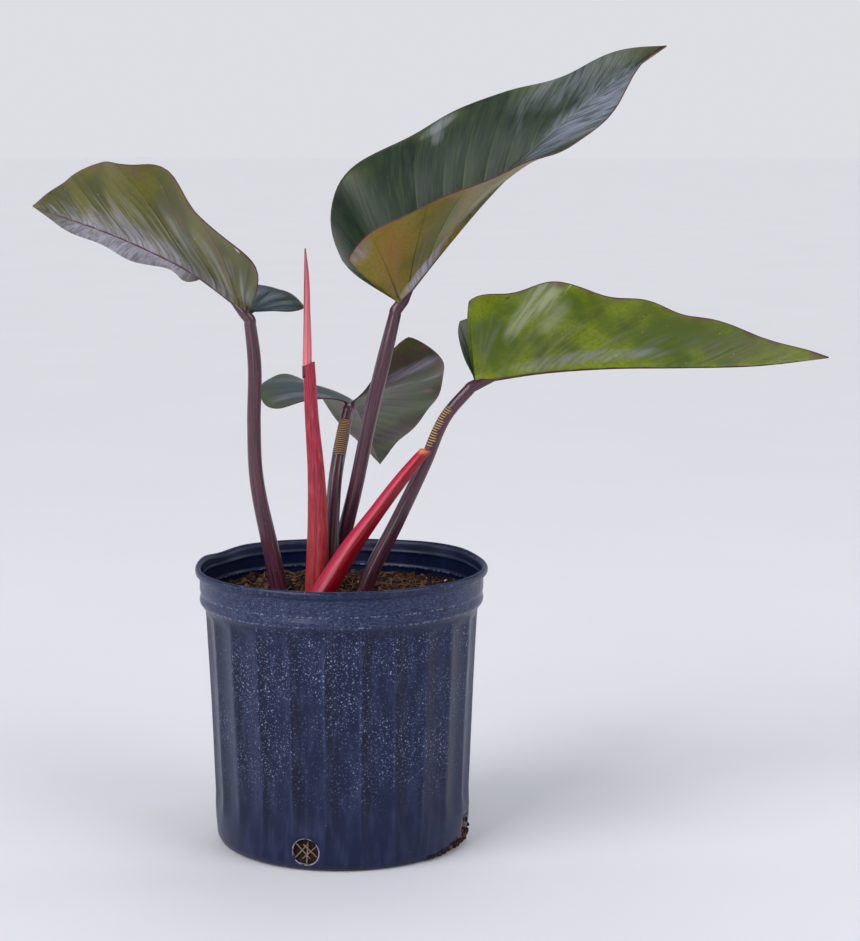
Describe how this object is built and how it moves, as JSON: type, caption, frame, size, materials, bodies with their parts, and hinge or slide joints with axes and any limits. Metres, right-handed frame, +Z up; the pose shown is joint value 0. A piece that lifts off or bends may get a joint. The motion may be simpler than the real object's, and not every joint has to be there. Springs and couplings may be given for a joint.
{
  "type": "potted congo rojo philodendron",
  "caption": "Young self-heading philodendron with olive leaves on mauve stalks, a rolled pink new leaf and red sheaths, in a black fluted nursery pot of soil.",
  "frame": {"origin": "centre of the pot's flat foot, on the surface that the pot stands on", "axes": "+Z up along the pot's axis; +Y away from the viewer of the picture; +X towards the viewer's right, where the longest leaf points"},
  "size_m": [0.6202, 0.3541, 0.6063],
  "materials": {
    "pot_plastic": "blow-moulded, satin, dusty",
    "potting_soil": "damp, crumbly",
    "leaf_blade": "waxy satin",
    "leaf_stalk": "smooth satin",
    "new_leaf": "smooth waxy",
    "leaf_sheath": "smooth satin"
  },
  "bodies": {
    "root": {"nursery_pot": "pot_plastic", "potting_soil": "potting_soil", "left_leaf_blade": "leaf_blade", "left_leaf_petiole": "leaf_stalk", "top_leaf_blade": "leaf_blade", "top_leaf_petiole": "leaf_stalk", "right_leaf_blade": "leaf_blade", "right_leaf_petiole": "leaf_stalk", "rear_leaf_blade": "leaf_blade", "rear_leaf_petiole": "leaf_stalk", "new_leaf_spear": "new_leaf", "spear_sheath": "leaf_sheath", "side_sheath": "leaf_sheath"}
  },
  "joints": []
}
